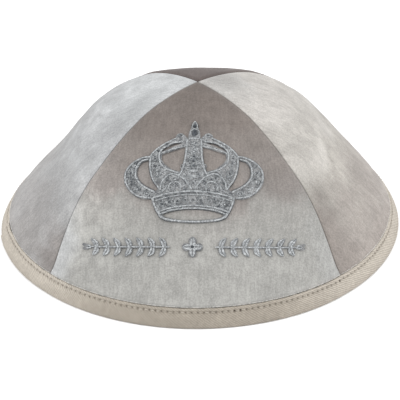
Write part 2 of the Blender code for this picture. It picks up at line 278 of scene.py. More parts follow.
# Crossing yarns on a map in metres: slanted ribs give twill, square ones plain weave
def makeWeaveGroup():
    group, source, sink = newGroup(
        "yarnWeave",
        [
            ("Cloth", "NodeSocketVector", None),
            ("Ribs Across", "NodeSocketFloat", 0.0),
            ("Ribs Along", "NodeSocketFloat", 1400.0),
            ("Picks Across", "NodeSocketFloat", 1400.0),
            ("Picks Along", "NodeSocketFloat", 0.0),
        ],
        [("Ribs", "NodeSocketFloat"), ("Picks", "NodeSocketFloat"), ("Weave", "NodeSocketFloat")],
    )
    parts = addNode(group, "ShaderNodeSeparateXYZ")
    group.links.new(source.outputs["Cloth"], parts.inputs[0])
    slub = addNode(group, "ShaderNodeTexNoise", {"Scale": 500.0, "Detail": 2.0})
    group.links.new(source.outputs["Cloth"], slub.inputs["Vector"])
    wobble = math2(group, "MULTIPLY", slub.outputs["Fac"], 0.9)
    waves = []
    for label in ("Ribs", "Picks"):
        across = math2(group, "MULTIPLY", parts.outputs["X"], source.outputs[label + " Across"])
        along = math2(group, "MULTIPLY", parts.outputs["Y"], source.outputs[label + " Along"])
        phase = math2(group, "ADD", math2(group, "ADD", across, along), wobble)
        wave = math2(group, "SINE", math2(group, "MULTIPLY", phase, 2 * math.pi))
        waves.append(remap(group, wave, -1, 1, smooth=False))
        group.links.new(waves[-1], sink.inputs[label])
    both = math2(
        group, "ADD", math2(group, "MULTIPLY", waves[0], 0.7), math2(group, "MULTIPLY", waves[1], 0.3)
    )
    group.links.new(both, sink.inputs["Weave"])
    return group


# Thread: colour that changes from strand to strand, and a fine twist
def makeThreadGroup():
    group, source, sink = newGroup(
        "threadTwist",
        [
            ("Vector", "NodeSocketVector", None),
            ("Strand Scale", "NodeSocketFloat", 1500.0),
            ("Twist Scale", "NodeSocketFloat", 4000.0),
        ],
        [("Strand", "NodeSocketFloat"), ("Twist", "NodeSocketFloat")],
    )
    for label, key in (("Strand", "Strand Scale"), ("Twist", "Twist Scale")):
        cloud = addNode(group, "ShaderNodeTexNoise", {"Detail": 4.0, "Roughness": 0.65})
        group.links.new(source.outputs["Vector"], cloud.inputs["Vector"])
        group.links.new(source.outputs[key], cloud.inputs["Scale"])
        group.links.new(remap(group, cloud.outputs["Fac"], 0.34, 0.66), sink.inputs[label])
    return group


napGroup = makeNapGroup()
weaveGroup = makeWeaveGroup()
threadGroup = makeThreadGroup()
print("shader groups made")


def newMaterial(name, **constants):
    material = bpy.data.materials.new(name)
    material.use_nodes = True
    tree = material.node_tree
    shader = tree.nodes["Principled BSDF"]
    for label, value in constants.items():
        shader.inputs[label.replace("_", " ")].default_value = value
    return material, tree, shader


def addBump(tree, shader, height, strength, distance):
    bump = addNode(tree, "ShaderNodeBump", {"Strength": strength, "Distance": distance})
    tree.links.new(height, bump.inputs["Height"])
    tree.links.new(bump.outputs["Normal"], shader.inputs["Normal"])


# Colours are written as they are seen, 0 to 255, and divided by the light that falls on the cap
lightOnCap = 1.38


def seen(red, green, blue):
    return tuple((channel / 255) ** 2.2 / lightOnCap for channel in (red, green, blue))


def shadeBy(tree, colour, value, low, high):
    shade = remap(tree, value, 0, 1, low, high, smooth=False)
    grey = addNode(tree, "ShaderNodeCombineColor")
    for channel in ("Red", "Green", "Blue"):
        tree.links.new(shade, grey.inputs[channel])
    return mixColour(tree, 1.0, colour, grey.outputs[0], "MULTIPLY")


# Velvet tones are rows of climb from the rim in mm and the colour there; they are painted light and shade,
# each gore lighter or darker by panel and by height as its brushed nap catches the light
velvetLooks = {
    "front": {
        "tones": (
            (8, (178, 177, 173)), (30, (175, 174, 170)), (42, (171, 169, 165)), (51, (156, 150, 146)),
            (66, (146, 139, 134)), (84, (131, 123, 118)), (104, (118, 110, 105)),
        ),
        "tilt": 0.03,
        "wander": 8 * mm,
        "seamStrip": (196, 197, 197),
        "stripWidth": 12 * mm,
        "stripTop": 46 * mm,
        "stripRight": 0.30,
    },
    "right": {
        "tones": (
            (8, (170, 162, 156)), (22, (173, 166, 160)), (38, (184, 179, 172)), (56, (197, 193, 187)),
            (82, (199, 195, 190)), (104, (188, 186, 183)),
        ),
        "tilt": 0.10,
        "wander": 14 * mm,
        "seamStrip": (162, 154, 148),
        "stripWidth": 16 * mm,
        "stripTop": 44 * mm,
        "stripRight": 0.55,
    },
    "back": {
        "tones": ((8, (150, 142, 137)), (40, (134, 125, 120)), (70, (116, 107, 103)), (104, (104, 95, 92))),
        "tilt": 0.05,
        "wander": 12 * mm,
        "seamStrip": (142, 134, 129),
        "stripWidth": 10 * mm,
        "stripTop": 40 * mm,
        "stripRight": 0.8,
    },
    "left": {
        "tones": (
            (8, (165, 162, 160)), (24, (167, 165, 164)), (42, (169, 169, 169)), (62, (181, 182, 183)),
            (84, (196, 198, 199)), (104, (196, 198, 199)),
        ),
        "tilt": 0.06,
        "wander": 14 * mm,
        "seamStrip": (150, 145, 142),
        "stripWidth": 14 * mm,
        "stripTop": 36 * mm,
        "stripRight": 1.0,
    },
}
longestClimb = 120 * mm


napSpread = (("Patch", 0.06), ("Crush", 0.09), ("Grain", 0.11), ("Streak", 0.07))
pressedLook = {"least": 0.45, "most": 1.35, "lighter": 1.34, "darker": 0.66}
# Painted light along the tape's top edge, over the shaded groove between tape and pile
grooveLight = {
    "reach": 0.55 * mm,
    "root": 0.15 * mm,
    "thin": 0.30,
    "thick": 0.60,
    "least": 0.3,
    "colour": (250, 247, 241),
}


def makeVelvet(name, look):
    material, tree, shader = newMaterial(
        name,
        Roughness=0.9,
        Specular_IOR_Level=0.15,
        Sheen_Weight=0.12,
        Sheen_Roughness=0.5,
        Sheen_Tint=(0.95, 0.95, 0.97, 1),
    )
    place = addNode(tree, "ShaderNodeTexCoord")
    cloth = addNode(tree, "ShaderNodeUVMap", uv_map="cloth")
    seam = addNode(tree, "ShaderNodeAttribute", attribute_name="toSeam")
    nap = addNode(tree, "ShaderNodeGroup", node_tree=napGroup)
    tree.links.new(place.outputs["Object"], nap.inputs["Place"])
    tree.links.new(cloth.outputs["UV"], nap.inputs["Cloth"])
    parts = addNode(tree, "ShaderNodeSeparateXYZ")
    tree.links.new(cloth.outputs["UV"], parts.inputs[0])
    wander = math2(tree, "MULTIPLY", math2(tree, "SUBTRACT", nap.outputs["Patch"], 0.5), look["wander"])
    climb = math2(tree, "ADD", parts.outputs["Y"], math2(tree, "MULTIPLY", parts.outputs["X"], look["tilt"]))
    climb = math2(tree, "ADD", climb, wander)
    # painted light and shade: each gore's tone by climb, as its nap takes the light
    ramp = addNode(tree, "ShaderNodeValToRGB")
    ramp.color_ramp.interpolation = "EASE"
    while len(ramp.color_ramp.elements) < len(look["tones"]):
        ramp.color_ramp.elements.new(0.5)
    for stop, (rise, colour) in zip(ramp.color_ramp.elements, look["tones"]):
        stop.position = rise * mm / longestClimb
        stop.color = (*seen(*colour), 1)
    tree.links.new(math2(tree, "DIVIDE", climb, longestClimb), ramp.inputs["Fac"])
    strip = remap(
        tree,
        math2(tree, "ADD", seam.outputs["Fac"], math2(tree, "MULTIPLY", wander, 0.5)),
        look["stripWidth"],
        1 * mm,
    )
    strip = math2(tree, "MULTIPLY", strip, remap(tree, climb, look["stripTop"], look["stripTop"] * 0.5))
    strip = math2(
        tree, "MULTIPLY", strip, remap(tree, parts.outputs["X"], -25 * mm, 25 * mm, 1.0, look["stripRight"])
    )
    colour = mixColour(tree, strip, ramp.outputs["Color"], seen(*look["seamStrip"]))
    for label, spread in napSpread:
        colour = shadeBy(tree, colour, nap.outputs[label], 1 - spread, 1 + spread)
    pressed = addNode(tree, "ShaderNodeAttribute", attribute_name="pressedPile")
    smudge = math2(
        tree,
        "MULTIPLY",
        pressed.outputs["Fac"],
        remap(tree, nap.outputs["Crush"], 0, 1, pressedLook["least"], pressedLook["most"], smooth=False),
    )
    smudge = remap(tree, smudge, -1, 1, 0, 1, smooth=False)
    colour = shadeBy(tree, colour, smudge, pressedLook["lighter"], pressedLook["darker"])
    # painted light: a pale edge on the pile along the tape's top brightens the shaded groove there, broken up
    # by the grain
    grooveLightShare = remap(
        tree, parts.outputs["Y"], cap["tapeWidth"] + grooveLight["reach"], cap["tapeWidth"] + grooveLight["root"]
    )
    grooveLightShare = math2(
        tree,
        "MULTIPLY",
        grooveLightShare,
        remap(tree, nap.outputs["Grain"], grooveLight["thin"], grooveLight["thick"], grooveLight["least"], 1.0),
    )
    colour = mixColour(tree, grooveLightShare, colour, seen(*grooveLight["colour"]))
    tree.links.new(colour, shader.inputs["Base Color"])
    addBump(tree, shader, nap.outputs["Height"], 0.4, 0.22 * mm)
    return material


def makeBacking():
    material, tree, shader = newMaterial("backingCloth", Roughness=0.9, Specular_IOR_Level=0.2)
    place = addNode(tree, "ShaderNodeUVMap", uv_map="cloth")
    weave = addNode(tree, "ShaderNodeGroup", node_tree=weaveGroup)
    tree.links.new(place.outputs["UV"], weave.inputs["Cloth"])
    colour = mixColour(tree, weave.outputs["Weave"], seen(160, 154, 148), seen(190, 184, 178))
    tree.links.new(colour, shader.inputs["Base Color"])
    addBump(tree, shader, weave.outputs["Weave"], 0.5, 0.15 * mm)
    return material


twillRibs = {"Ribs Across": -760.0, "Ribs Along": 1180.0, "Picks Across": 1500.0, "Picks Along": 900.0}


def makeTwill():
    material, tree, shader = newMaterial("twillTape", Roughness=0.85, Specular_IOR_Level=0.2)
    place = addNode(tree, "ShaderNodeUVMap", uv_map="cloth")
    weave = addNode(tree, "ShaderNodeGroup", twillRibs, node_tree=weaveGroup)
    tree.links.new(place.outputs["UV"], weave.inputs["Cloth"])
    body = addNode(tree, "ShaderNodeTexCoord")
    nap = addNode(
        tree,
        "ShaderNodeGroup",
        {"Patch Scale": 90.0, "Crush Scale": 600.0, "Grain Scale": 2200.0},
        node_tree=napGroup,
    )
    tree.links.new(body.outputs["Object"], nap.inputs["Place"])
    tree.links.new(place.outputs["UV"], nap.inputs["Cloth"])
    parts = addNode(tree, "ShaderNodeSeparateXYZ")
    tree.links.new(body.outputs["Object"], parts.inputs[0])
    sink = addNode(tree, "ShaderNodeAttribute", attribute_name="holeShade")
    colour = mixColour(tree, weave.outputs["Ribs"], seen(186, 177, 165), seen(216, 208, 196))
    # painted shade: the tape darker towards the front of the cap, where less light falls on it
    front = remap(tree, parts.outputs["Y"], -58 * mm, -84 * mm)
    colour = mixColour(tree, math2(tree, "MULTIPLY", front, 0.75), colour, seen(166, 157, 144))
    # painted shade: the tape darker towards its lower edge
    low = remap(tree, parts.outputs["Z"], 4.0 * mm, 0.0)
    colour = mixColour(tree, math2(tree, "MULTIPLY", low, 0.35), colour, seen(164, 156, 145))
    colour = shadeBy(tree, colour, weave.outputs["Ribs"], 0.93, 1.05)
    for label, spread in (("Patch", 0.04), ("Crush", 0.07), ("Grain", 0.06)):
        colour = shadeBy(tree, colour, nap.outputs[label], 1 - spread, 1 + spread)
    # painted shade: the needle holes darkened towards a dark brown
    colour = mixColour(
        tree, math2(tree, "MULTIPLY", sink.outputs["Fac"], 1.0, clamp=True), colour, seen(84, 74, 64)
    )
    tree.links.new(colour, shader.inputs["Base Color"])
    addBump(tree, shader, weave.outputs["Weave"], 0.45, 0.15 * mm)
    return material


threadLooks = {
    "silverThread": {
        "dark": seen(146, 150, 154),
        "light": seen(240, 244, 246),
        "rough": 0.42,
        "metal": 0.1,
        "scale": 1500.0,
    },
    "silverFill": {
        "dark": seen(112, 117, 121), "light": seen(226, 230, 232), "rough": 0.45, "metal": 0.1, "scale": 620.0
    },
    # dark slate, used for painted shade along stitch edges and among the fill, and for dark stones
    "slateThreadAndShade": {
        "dark": seen(52, 58, 66), "light": seen(112, 118, 124), "rough": 0.4, "metal": 0.1, "scale": 900.0
    },
    "stitchedGround": {
        "dark": seen(106, 108, 111), "light": seen(160, 160, 160), "rough": 0.7, "metal": 0.0, "scale": 500.0
    },
    "tapeThread": {
        "dark": seen(176, 166, 152), "light": seen(212, 204, 190), "rough": 0.65, "metal": 0.0, "scale": 900.0
    },
}


def makeThread(name, look):
    material, tree, shader = newMaterial(
        name, Roughness=look["rough"], Metallic=look["metal"], Specular_IOR_Level=0.5
    )
    place = addNode(tree, "ShaderNodeTexCoord")
    thread = addNode(tree, "ShaderNodeGroup", {"Strand Scale": look["scale"]}, node_tree=threadGroup)
    tree.links.new(place.outputs["Object"], thread.inputs["Vector"])
    colour = mixColour(tree, thread.outputs["Strand"], look["dark"], look["light"])
    tree.links.new(colour, shader.inputs["Base Color"])
    addBump(tree, shader, thread.outputs["Twist"], 0.35, 0.08 * mm)
    return material


velvets = {side: makeVelvet(side + "Velvet", look) for side, look in velvetLooks.items()}
backing = makeBacking()
twill = makeTwill()
threads = {name: makeThread(name, look) for name, look in threadLooks.items()}
print("materials made")


def meshObject(bm, name, materials, smooth=True):
    mesh = bpy.data.meshes.new(name)
    bm.to_mesh(mesh)
    bm.free()
    if smooth:
        mesh.shade_smooth()
    for material in materials:
        mesh.materials.append(material)
    piece = bpy.data.objects.new(name, mesh)
    bpy.context.scene.collection.objects.link(piece)
    return piece


# Gores: cloth slabs wrapped on the dome, with rolled seams, puckers and a crushed, wavy surface
goreLook = {
    "columns": 64,
    "rows": 84,
    "rollWidth": 2.6 * mm,
    "rollDepth": 0.65 * mm,
    "rollFade": 5 * mm,
    "puckerPitch": 3.1 * mm,
    "puckerDepth": 0.10 * mm,
    "puckerReach": 4.5 * mm,
    "waveDepth": 0.28 * mm,
    "waveScale": 60,
    "crushDepth": 0.07 * mm,
    "crushScale": 230,
    "edgeGap": 0.02 * mm,
    "pressLength": 0.10 * mm,
    "puffHeight": 0.34 * mm,
    "puffReach": 0.9 * mm,
    "tipRadius": 0.22 * mm,
    # the crown sinks a little behind its middle: bearing, lean, spread of each, depth
    "sag": (178, 33, 34, 13, 0.75 * mm),
}
# Where fingers pressed the pile: bearing, lean, spread of each, how dark (below 0 it is lighter)
pressedSpots = (
    (-58, 23, 9, 5, 0.60),
    (-70, 16, 9, 3.5, 0.55),
    (-95, 26, 3, 2, 0.40),
    (-76, 31, 9, 5, -0.30),
    (-63, 62, 9, 6, 0.25),
    (104, 8, 24, 3.5, 0.80),
    (108, 26, 4, 2.5, 0.35),
    (59, 38, 6, 4, 0.30),
    (51, 55, 5, 5.5, 0.65),
    (51, 66, 6, 7, 0.35),
    (49, 80, 5, 4, 0.15),
    (75, 50, 10, 8, -0.25),
    (37, 46, 6, 5, 0.45),
    (33, 31, 7, 5, 0.15),
    (-38, 27, 8, 5, 0.35),
    (-8, 18, 14, 5, 0.25),
    (-41, 57, 7, 10, -0.45),
    (-36, 50, 6, 5, -0.25),
    (-37, 74, 4, 4, -0.20),
)


# Lean of each row from the hem up, and how far the tape presses it there
def goreRowPlaces():
    out, up = skinNormal(86.0, 0.0)
    hemClimb = (cap["tapeWall"] + cap["fitGap"] + hemInner * float(up)) / float(out)
    pressed = cap["tapeWidth"] + goreLook["edgeGap"]
    free = pressed + goreLook["pressLength"]
    rows = [(climb, 1.0) for climb in (hemClimb, (hemClimb + pressed) / 2, pressed)]
    rows += [
        (pressed + goreLook["pressLength"] * step / 4, (1 + math.cos(math.pi * step / 4)) / 2)
        for step in (1, 2, 3, 4)
    ]
    tipLean = math.degrees(math.asin(goreLook["tipRadius"] / cap["rimRadius"]))
    places = [(float(leanAt(climb)), press) for climb, press in rows]
    places += [
        (float(lean), 0.0) for lean in np.linspace(float(leanAt(free)), tipLean, goreLook["rows"] + 1)[1:]
    ]
    return places


def makeGore(side, node, middle):
    look = goreLook
    rows = goreRowPlaces()
    bm = bmesh.new()
    bmesh.ops.create_grid(bm, x_segments=look["columns"], y_segments=len(rows) - 1, size=1)
    inner = bmesh.ops.extrude_face_region(bm, geom=bm.faces[:], use_keep_orig=True)
    innerVerts = [item for item in inner["geom"] if isinstance(item, bmesh.types.BMVert)]
    innerFaces = [item for item in inner["geom"] if isinstance(item, bmesh.types.BMFace)]
    for face in innerFaces:
        face.material_index = 1
    bmesh.ops.translate(bm, verts=innerVerts, vec=(0, 0, 1))
    flat = np.array([vert.co for vert in bm.verts])
    rowIndex = np.rint((flat[:, 1] + 1) / 2 * (len(rows) - 1)).astype(int)
    lean = np.array([row[0] for row in rows])[rowIndex]
    press = np.array([row[1] for row in rows])[rowIndex]
    inside = flat[:, 2] > 0.5
    radius = np.maximum(skin(lean, np.full_like(lean, middle))[0], look["tipRadius"])
    gap = np.degrees(np.arcsin(np.minimum(1, cap["seamGap"] / 2 / radius)))
    # columns crowd towards the seams, where the cloth rolls in
    across = np.sin(flat[:, 0] * math.pi / 2 * 0.94) / math.sin(math.pi / 2 * 0.94)
    bearing = middle + np.where(rowIndex == len(rows) - 1, 0, (45 - gap) * across)
    toSeam = radius * np.radians(45 - np.abs(bearing - middle))
    climb = np.interp(lean, climbLeans, climbs)
    fade = np.clip((climb - cap["tapeWidth"] - look["pressLength"]) / look["rollFade"], 0, 1)
    roll = look["rollDepth"] * np.clip(1 - toSeam / look["rollWidth"], 0, 1) ** 2 * (0.35 + 0.65 * fade)
    pucker = look["puckerDepth"] * np.exp(-toSeam / look["puckerReach"]) * np.cos(
        2 * math.pi * climb / look["puckerPitch"]
    )
    smooth = onWall(lean, bearing, 0)
    broad = np.array([noise.noise(Vector(p) * look["waveScale"]) for p in smooth])
    fine = np.array([noise.noise(Vector(p) * look["waveScale"] * 2.3) for p in smooth])
    wave = broad + 0.5 * fine
    crush = np.array([noise.noise(Vector(p) * look["crushScale"]) for p in smooth])
    free = (1 - press) * np.clip(toSeam / (3 * mm), 0, 1)
    sagBearing, sagLean, sagWide, sagTall, sagDepth = look["sag"]
    sagTurn = (bearing - sagBearing + 180) % 360 - 180
    sag = sagDepth * np.exp(-((sagTurn / sagWide) ** 2 + ((lean - sagLean) / sagTall) ** 2) / 2)
    relief = (pucker + look["waveDepth"] * wave + look["crushDepth"] * crush) * free
    overTape = climb - cap["tapeWidth"] - look["edgeGap"] - look["pressLength"]
    puff = look["puffHeight"] * np.exp(-((overTape / look["puffReach"]) ** 2))
    outerDepth = press * hemOuter + (1 - press) * (np.maximum(roll + relief, -0.35 * mm) - puff) + sag
    innerDepth = press * hemInner + (1 - press) * cap["velvetWall"] + 0.5 * relief + sag
    places = onWall(lean, bearing, np.where(inside, innerDepth, outerDepth))
    pressed = 0
    for spotBearing, spotLean, wide, tall, amount in pressedSpots:
        spotTurn = (bearing - spotBearing + 180) % 360 - 180
        pressed = pressed + amount * np.exp(-((spotTurn / wide) ** 2 + ((lean - spotLean) / tall) ** 2) / 2)
    pile = bm.verts.layers.float.new("pressedPile")
    for vert, amount in zip(bm.verts, pressed):
        vert[pile] = amount
    maps = bm.loops.layers.uv.new("cloth")
    clothAcross = radius * np.radians(bearing - middle)
    for vert, place in zip(bm.verts, places):
        vert.co = place
    bm.verts.index_update()
    for face in bm.faces:
        for loop in face.loops:
            index = loop.vert.index
            loop[maps].uv = (clothAcross[index], climb[index])
    bmesh.ops.remove_doubles(bm, verts=bm.verts, dist=1e-6)
    bmesh.ops.recalc_face_normals(bm, faces=bm.faces)
    piece = meshObject(bm, side + "Gore", [velvets[side], backing])
    middleTurn = math.radians(middle)
    seamTurns = [middleTurn - math.pi / 4, middleTurn + math.pi / 4]
    distance = piece.data.attributes.new("toSeam", "FLOAT", "POINT")
    places = np.array([vert.co for vert in piece.data.vertices])
    turns = np.arctan2(places[:, 0], -places[:, 1])
    apart = np.min([np.abs((turns - turn + math.pi) % (2 * math.pi) - math.pi) for turn in seamTurns], axis=0)
    distance.data.foreach_set("value", apart * np.hypot(places[:, 0], places[:, 1]))
    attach(piece, "root")
    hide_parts(node)
    return piece


gores = {
    side: makeGore(side, node, middle)
    for side, node, middle in (
        ("front", "panel_front", 0),
        ("right", "panel_right", 90),
        ("back", "panel_back", 180),
        ("left", "panel_left", 270),
    )
}
print("gores made")


# Edge tape: folded over the hem, pulled in at every needle hole, with its two ends lapped on the left
tapeLook = {
    "stitches": 222,
    # stitch holes painted darkest with shade
    "deepShadeHoles": (7, 8, 27),
    "perStitch": 8,
    "needleDrop": 1.5 * mm,
    "holeDepth": 0.28 * mm,
    "holeSpread": 0.40 * mm,
    "grooveDepth": 0.12 * mm,
    "grooveSpread": 0.55 * mm,
    "edgeWander": 0.20 * mm,
    "waveDepth": 0.13 * mm,
    "lapBearing": -77.5,
    "lapEdge": 0.25,
    "lapLength": 9.0,
    "lapRise": 0.42 * mm,
    "round": 0.95 * mm,
}
rimOut = float(skinNormal(86.0, 0.0)[0])
tapeTop = cap["tapeWidth"] * rimOut


# Height, depth and run along the cloth of each point round the folded tape
def tapeSection():
    outer = -cap["tapeProud"]
    legInner = outer + cap["tapeWall"]
    farLeg = hemInner + cap["fitGap"]
    farFace = farLeg + cap["tapeWall"]
    curl = tapeLook["round"]
    points = [
        (tapeTop - 0.25 * mm, legInner - 0.30 * mm),
        (tapeTop, outer + 0.42 * mm),
        (tapeTop - 0.12 * mm, outer + 0.12 * mm),
    ]
    needle = tapeTop - tapeLook["needleDrop"] * rimOut
    points += [(height, outer) for height in np.linspace(tapeTop - 0.4 * mm, needle, 5)]
    points += [(height, outer) for height in np.linspace(needle, curl, 17)[1:]]
    points += [(curl * (1 - math.sin(a)), outer + curl * (1 - math.cos(a))) for a in np.radians((22, 45, 68))]
    points += [(0, outer + curl), (0, farFace - curl)]
    points += [
        (curl * (1 - math.cos(a)), farFace - curl * (1 - math.sin(a))) for a in np.radians((22, 45, 68))
    ]
    points += [(height, farFace) for height in np.linspace(curl, tapeTop - 0.4 * mm, 9)]
    points += [(tapeTop, farFace - 0.3 * mm), (tapeTop - 0.25 * mm, farLeg + 0.1 * mm)]
    points += [
        (tapeTop * 0.5, farLeg),
        (cap["tapeWall"], farLeg),
        (cap["tapeWall"], legInner),
        (tapeTop * 0.5, legInner),
    ]
    heights, depths = (np.array(column, float) for column in zip(*points))
    runs = np.concatenate([[0], np.cumsum(np.hypot(np.diff(heights), np.diff(depths)))])
    return heights, depths, runs


# A point near the rim from its bearing, height over the table and depth in the skin
def hemPoint(bearing, height, depth):
    leans = np.linspace(66, 90, 97)
    bearings = np.unique(bearing)
    radius, heights = skin(leans[None, :], bearings[:, None])
    level = np.empty_like(height)
    order = np.searchsorted(bearings, bearing)
    for index in range(len(bearings)):
        mine = order == index
        level[mine] = np.interp(height[mine], heights[index, ::-1], radius[index, ::-1])
    level = level - depth / rimOut
    turn = np.radians(bearing)
    return np.stack([level * np.sin(turn), -level * np.cos(turn), height], axis=-1)


# The end of the tape lies over its start: a sharp edge that sinks away
def lapRise(bearing):
    past = (bearing - tapeLook["lapBearing"] + 180) % 360 - 180
    rise = np.clip(past / tapeLook["lapEdge"], 0, 1)
    fade = np.clip(1 - (past - tapeLook["lapEdge"]) / tapeLook["lapLength"], 0, 1) ** 0.8
    return tapeLook["lapRise"] * rise * fade


def makeTape():
    look = tapeLook
    heights, depths, runs = tapeSection()
    around = look["stitches"] * look["perStitch"]
    bm = bmesh.new()
    bmesh.ops.create_grid(bm, x_segments=around, y_segments=len(heights), size=1)
    flat = np.array([vert.co for vert in bm.verts])
    step = np.rint((flat[:, 0] + 1) / 2 * around).astype(int)
    corner = np.rint((flat[:, 1] + 1) / 2 * len(heights)).astype(int)
    wrapped = corner % len(heights)
    bearing = (step % around) * 360 / around
    height, depth = heights[wrapped].copy(), depths[wrapped].copy()
    stitch = step / look["perStitch"]
    along = (stitch - np.rint(stitch)) * 360 / look["stitches"] * math.pi / 180 * cap["rimRadius"]
    down = (tapeTop - height) / rimOut - look["needleDrop"]
    onLegs = (height > look["round"]) & ((depth < 0) | (depth > hemInner + cap["tapeWall"]))
    hole = look["holeDepth"] * np.exp(-(along**2 + down**2) / look["holeSpread"] ** 2)
    groove = look["grooveDepth"] * np.exp(-(down**2) / look["grooveSpread"] ** 2)
    turn = np.radians(bearing)
    wander = np.array([noise.noise(Vector((math.cos(a) * 34, math.sin(a) * 34, 0))) for a in turn])
    ripple = np.array(
        [noise.noise(Vector((math.cos(a) * 95, math.sin(a) * 95, h * 300))) for a, h in zip(turn, height)]
    )
    sign = np.where(depth < 0.5 * hemInner, 1.0, -1.0)
    depth = depth + sign * np.where(onLegs, hole + groove + look["waveDepth"] * ripple, 0)
    lapped = np.where(depth < hemOuter - 0.2 * mm, lapRise(bearing), 0)
    lapped = lapped * np.clip(height / look["round"], 0, 1)
    depth = depth - lapped
    edge = np.clip((height - 0.55 * tapeTop) / (0.45 * tapeTop), 0, 1)
    height = height + edge * look["edgeWander"] * wander
    places = hemPoint(bearing, height, depth)
    maps = bm.loops.layers.uv.new("cloth")
    bm.verts.index_update()
    for vert, place in zip(bm.verts, places):
        vert.co = place
    runAll = np.concatenate([runs, [runs[-1] + cap["tapeWall"]]])
    metres = step * 2 * math.pi * cap["rimRadius"] / around
    # painted shade in the needle holes, darkest at the few deepest holes
    inDeepShade = np.isin(np.rint(stitch) % look["stitches"], look["deepShadeHoles"])
    holeShading = np.where(onLegs, np.minimum(1, hole / look["holeDepth"] * np.where(inDeepShade, 1.6, 0.75)), 0)
    pull = bm.verts.layers.float.new("holeShade")
    for vert, value in zip(bm.verts, holeShading):
        vert[pull] = value
    for face in bm.faces:
        for loop in face.loops:
            index = loop.vert.index
            loop[maps].uv = (metres[index], runAll[corner[index]])
    bmesh.ops.remove_doubles(bm, verts=bm.verts, dist=1e-6)
    bmesh.ops.recalc_face_normals(bm, faces=bm.faces)
    piece = meshObject(bm, "edgeTape", [twill])
    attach(piece, "root")
    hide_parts("rim_binding")
    return piece


tape = makeTape()
print("tape made")


# One strand, drawn out from a ball, then copied until there is one for every stitch
def strandCopies(sides, count):
    bm = bmesh.new()
    bmesh.ops.create_uvsphere(bm, u_segments=sides, v_segments=4, radius=1)
    made = 1
    while made < count:
        extra = min(made, count - made)
        first = [face for face in bm.faces if face.calc_center_median().z < 3 * extra - 1.5]
        copies = bmesh.ops.duplicate(bm, geom=first)["geom"]
        bmesh.ops.translate(
            bm, verts=[item for item in copies if isinstance(item, bmesh.types.BMVert)], vec=(0, 0, 3 * made)
        )
        made += extra
    return bm


# Lays a strand from each start to its end; ups point out of the cloth
def makeStrands(name, starts, ends, ups, radius, arch, material, sides=4, flatness=0.8):
    starts, ends, ups = (np.asarray(v, float) for v in (starts, ends, ups))
    bm = strandCopies(sides, len(starts))
    shape = np.array([vert.co for vert in bm.verts])
    which = np.rint(shape[:, 2] / 3).astype(int)
    shape[:, 2] -= 3 * which
    run = ends - starts
    side = np.cross(run, ups)
    side /= np.linalg.norm(side, axis=1, keepdims=True)
    radius = np.broadcast_to(np.asarray(radius, float), (len(starts),))[which, None]
    arch = np.broadcast_to(np.asarray(arch, float), (len(starts),))[which, None]
    t = ((np.sign(shape[:, 2]) * np.abs(shape[:, 2]) ** 0.8 + 1) / 2)[:, None]
    line = starts[which] + run[which] * t + ups[which] * arch * 4 * t * (1 - t)
    places = line + (side[which] * shape[:, 0:1] + ups[which] * shape[:, 1:2] * flatness) * radius
    for vert, place in zip(bm.verts, places):
        vert.co = place
    bmesh.ops.recalc_face_normals(bm, faces=bm.faces)
    piece = meshObject(bm, name, [material])
    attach(piece, "root")
    return piece


def makeTapeStitches(name, outside):
    look = tapeLook
    count = look["stitches"]
    rng = random.Random(11 if outside else 12)
    pitch = 360 / count
    starts, ends, ups = [], [], []
    if outside:
        depth = -cap["tapeProud"] - 0.02 * mm
    else:
        depth = hemInner + cap["fitGap"] + cap["tapeWall"] + 0.02 * mm
    low = tapeTop - look["needleDrop"] * rimOut
    bearings = np.array([(index + shift) * pitch for index in range(count) for shift in (0.14, 0.86)])
    wobble = np.array([rng.uniform(-0.12, 0.12) * mm for _ in bearings])
    sinks = 0.10 * mm * (1 if outside else -1) - lapRise(bearings) * (1 if outside else 0)
    feet = hemPoint(
        bearings % 360, np.full(len(bearings), low) + wobble, np.full(len(bearings), depth) + sinks
    )
    for index in range(count):
        starts.append(feet[2 * index])
        ends.append(feet[2 * index + 1])
        turn = math.radians((index + 0.5) * pitch)
        flip = 1 if outside else -1
        ups.append(
            np.array([math.sin(turn) * rimOut, -math.cos(turn) * rimOut, math.sqrt(1 - rimOut**2)]) * flip
        )
    piece = makeStrands(name, starts, ends, ups, 0.17 * mm, 0.14 * mm, threads["tapeThread"], sides=6)
    return piece


makeTapeStitches("outerTopstitch", True)
makeTapeStitches("innerTopstitch", False)
print("tape stitches made")


# Embroidery on the front gore, in millimetres: across from the middle, up from the crown's foot
def smoothPath(points, step, closed=False):
    points = np.array(points, float)
    if closed:
        ring = np.concatenate([points[-1:], points, points[:2]])
    else:
        ring = np.concatenate([2 * points[:1] - points[1:2], points, 2 * points[-1:] - points[-2:-1]])
    dense = []
    t = np.linspace(0, 1, 24, endpoint=False)[:, None]
    for p0, p1, p2, p3 in zip(ring, ring[1:], ring[2:], ring[3:]):
        dense.append(
            0.5 * (
                2 * p1 + (p2 - p0) * t + (
                    2 * p0 - 5 * p1 + 4 * p2 - p3
                ) * t**2 + (3 * p1 - p0 - 3 * p2 + p3) * t**3
            )
        )
    dense = np.concatenate(dense + [ring[-2:-1]])
    run = np.concatenate([[0], np.cumsum(np.linalg.norm(np.diff(dense, axis=0), axis=1))])
    places = np.linspace(0, run[-1], max(2, int(run[-1] / step)) + 1)
    return np.stack([np.interp(places, run, dense[:, axis]) for axis in (0, 1)], axis=1)


